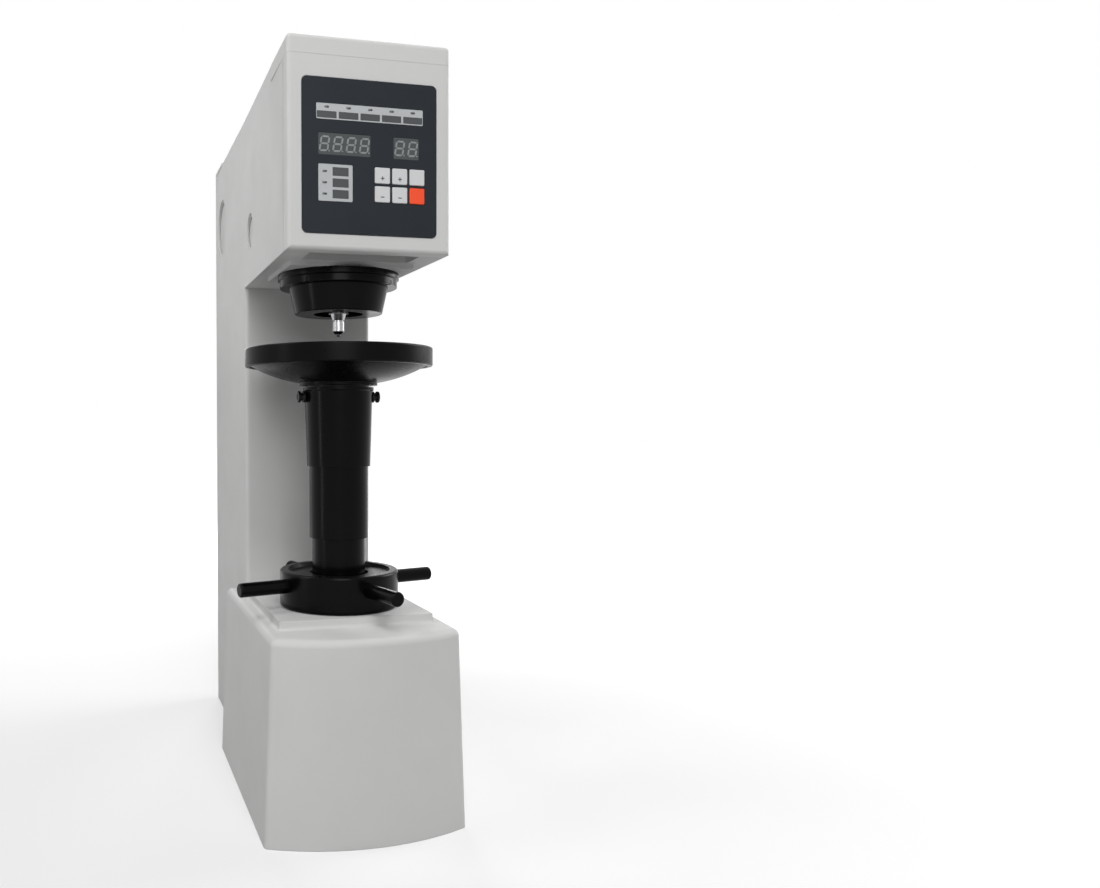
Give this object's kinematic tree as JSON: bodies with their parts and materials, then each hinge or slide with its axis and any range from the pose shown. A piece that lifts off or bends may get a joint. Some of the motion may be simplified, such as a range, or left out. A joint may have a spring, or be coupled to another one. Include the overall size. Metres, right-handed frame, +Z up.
{
  "type": "hardness tester",
  "caption": "Bench Brinell hardness tester: cast C-frame, front control panel, guarded ball indenter, capstan-driven elevating screw and round anvil.",
  "frame": {"origin": "where the spindle axis meets the bench top", "axes": "+Z up along the spindle axis, -Y towards the operator, +X to the operator's right"},
  "size_m": [0.2258, 0.5161, 0.756],
  "materials": {
    "casting_paint": "semi-gloss light grey enamel over cast iron and sheet steel",
    "black_enamel": "gloss black enamel",
    "black_oxide_steel": "blackened steel, satin",
    "bright_steel": "zinc-plated steel",
    "machined_steel": "turned and ground steel",
    "polished_chrome": "polished hard chrome",
    "spring_steel": "oiled spring wire",
    "bronze": "cast bronze, machined",
    "aluminium_cell": "anodised aluminium",
    "motor_grey": "dark grey paint",
    "transformer_steel": "varnished laminations",
    "panel_film": "dark navy overlay, satin",
    "display_window": "smoked acrylic over unlit digits",
    "strip_plastic": "light grey frame with smoked cells",
    "circuit_board": "solder mask",
    "key_grey": "light grey key cap",
    "key_orange": "orange-red key cap",
    "black_plastic": "moulded black plastic"
  },
  "bodies": {
    "machine": {"frame_casting": "casting_paint", "panel_housing": "casting_paint", "top_cap": "casting_paint", "rear_lid": "casting_paint", "rear_cover": "casting_paint", "rear_cover_screws": "bright_steel", "large_side_plugs": "casting_paint", "small_side_plugs": "casting_paint", "control_panel": "panel_film", "force_display": "display_window", "time_display": "display_window", "lamp_strip": "strip_plastic", "mode_display": "strip_plastic", "control_board": "circuit_board", "guard_flange": "black_enamel", "guard_screws": "black_oxide_steel", "guard_cup": "black_enamel", "spindle_bush": "bronze", "lever_bracket": "machined_steel", "lever_pivot_pin": "machined_steel", "load_motor": "motor_grey", "motor_shelf": "machined_steel", "screw_guide": "bronze", "thrust_bearing": "bright_steel", "power_supply": "transformer_steel", "switch_housing": "black_plastic", "power_inlet": "black_plastic", "inlet_pins": "bright_steel", "fuse_holder": "black_plastic"},
    "load_up_key": {"load_up_key": "key_grey"},
    "time_up_key": {"time_up_key": "key_grey"},
    "clear_key": {"clear_key": "key_grey"},
    "load_down_key": {"load_down_key": "key_grey"},
    "time_down_key": {"time_down_key": "key_grey"},
    "start_key": {"start_key": "key_orange"},
    "spindle": {"main_spindle": "machined_steel", "spindle_spring": "spring_steel", "indenter_holder": "polished_chrome", "indenter_ball": "polished_chrome"},
    "load_lever": {"load_lever": "machined_steel"},
    "load_train": {"pull_link": "machined_steel", "load_cell": "aluminium_cell", "load_nut": "bronze"},
    "load_screw": {"load_screw": "machined_steel"},
    "elevating_screw": {"elevating_screw": "machined_steel", "upper_guard_tube": "black_enamel"},
    "handwheel": {"elevating_nut": "bronze", "handwheel_hub": "black_enamel", "lower_guard_tube": "black_enamel", "handle_1": "black_enamel", "handle_2": "black_enamel", "handle_3": "black_enamel", "handle_4": "black_enamel"},
    "middle_guard_tube": {"middle_guard_tube": "black_enamel"},
    "thumb_screw_left": {"thumb_screw_left": "black_oxide_steel"},
    "thumb_screw_right": {"thumb_screw_right": "black_oxide_steel"},
    "anvil": {"anvil": "black_enamel"},
    "switch_rocker": {"switch_rocker": "black_plastic"}
  },
  "joints": [
    {"name": "handwheel_turn", "type": "hinge", "parent": "machine", "child": "handwheel", "pos_m": [0, 0, 0.224], "axis": [0, 0, 1], "range_deg": [-473, 3826]},
    {"name": "screw_lift", "type": "slide", "parent": "machine", "child": "elevating_screw", "axis": [0, 0, 1], "range_m": [-0.085, 0.0105]},
    {"name": "middle_guard_slide", "type": "slide", "parent": "machine", "child": "middle_guard_tube", "axis": [0, 0, 1], "range_m": [-0.0341, 0.0043]},
    {"name": "anvil_turn", "type": "hinge", "parent": "elevating_screw", "child": "anvil", "pos_m": [0, 0, 0.4365], "axis": [0, 0, 1], "continuous": true},
    {"name": "left_thumb_screw_turn", "type": "hinge", "parent": "elevating_screw", "child": "thumb_screw_left", "pos_m": [-0.04, 0, 0.4248], "axis": [1, 0, 0], "range_deg": [0, 720]},
    {"name": "right_thumb_screw_turn", "type": "hinge", "parent": "elevating_screw", "child": "thumb_screw_right", "pos_m": [0.04, 0, 0.4248], "axis": [1, 0, 0], "range_deg": [-720, 0]},
    {"name": "spindle_slide", "type": "slide", "parent": "machine", "child": "spindle", "axis": [0, 0, 1], "range_m": [0, 0.002], "stiffness_N_per_m": 4000, "springref_m": -0.005, "deforming": ["spindle_spring"]},
    {"name": "load_screw_turn", "type": "hinge", "parent": "machine", "child": "load_screw", "pos_m": [0, 0.24, 0.52], "axis": [0, 0, 1], "range_deg": [0, 432.5]},
    {"name": "load_nut_slide", "type": "slide", "parent": "machine", "child": "load_train", "axis": [0, 0, -1], "range_m": [0, 0.006]},
    {"name": "lever_tilt", "type": "hinge", "parent": "machine", "child": "load_lever", "pos_m": [0, -0.03, 0.67], "axis": [1, 0, 0], "range_deg": [-1.28, 0]},
    {"name": "power_rocker", "type": "hinge", "parent": "machine", "child": "switch_rocker", "pos_m": [0.034, 0.3793, 0.15], "axis": [1, 0, 0], "range_deg": [-16, 0]},
    {"name": "load_up_key_press", "type": "slide", "parent": "machine", "child": "load_up_key", "axis": [0, 1, 0], "range_m": [0, 0.0005], "stiffness_N_per_m": 60, "springref_m": -0.0003},
    {"name": "time_up_key_press", "type": "slide", "parent": "machine", "child": "time_up_key", "axis": [0, 1, 0], "range_m": [0, 0.0005], "stiffness_N_per_m": 60, "springref_m": -0.0003},
    {"name": "clear_key_press", "type": "slide", "parent": "machine", "child": "clear_key", "axis": [0, 1, 0], "range_m": [0, 0.0005], "stiffness_N_per_m": 60, "springref_m": -0.0003},
    {"name": "load_down_key_press", "type": "slide", "parent": "machine", "child": "load_down_key", "axis": [0, 1, 0], "range_m": [0, 0.0005], "stiffness_N_per_m": 60, "springref_m": -0.0003},
    {"name": "time_down_key_press", "type": "slide", "parent": "machine", "child": "time_down_key", "axis": [0, 1, 0], "range_m": [0, 0.0005], "stiffness_N_per_m": 60, "springref_m": -0.0003},
    {"name": "start_key_press", "type": "slide", "parent": "machine", "child": "start_key", "axis": [0, 1, 0], "range_m": [0, 0.0005], "stiffness_N_per_m": 60, "springref_m": -0.0003}
  ],
  "couplings": [
    {"joint": "handwheel_turn", "follows": "screw_lift", "rad_per_m": -785.4},
    {"joint": "middle_guard_slide", "follows": "screw_lift", "ratio": 0.4},
    {"joint": "load_screw_turn", "follows": "load_nut_slide", "rad_per_m": 1256.6},
    {"joint": "lever_tilt", "follows": "load_nut_slide", "rad_per_m": -3.704}
  ]
}
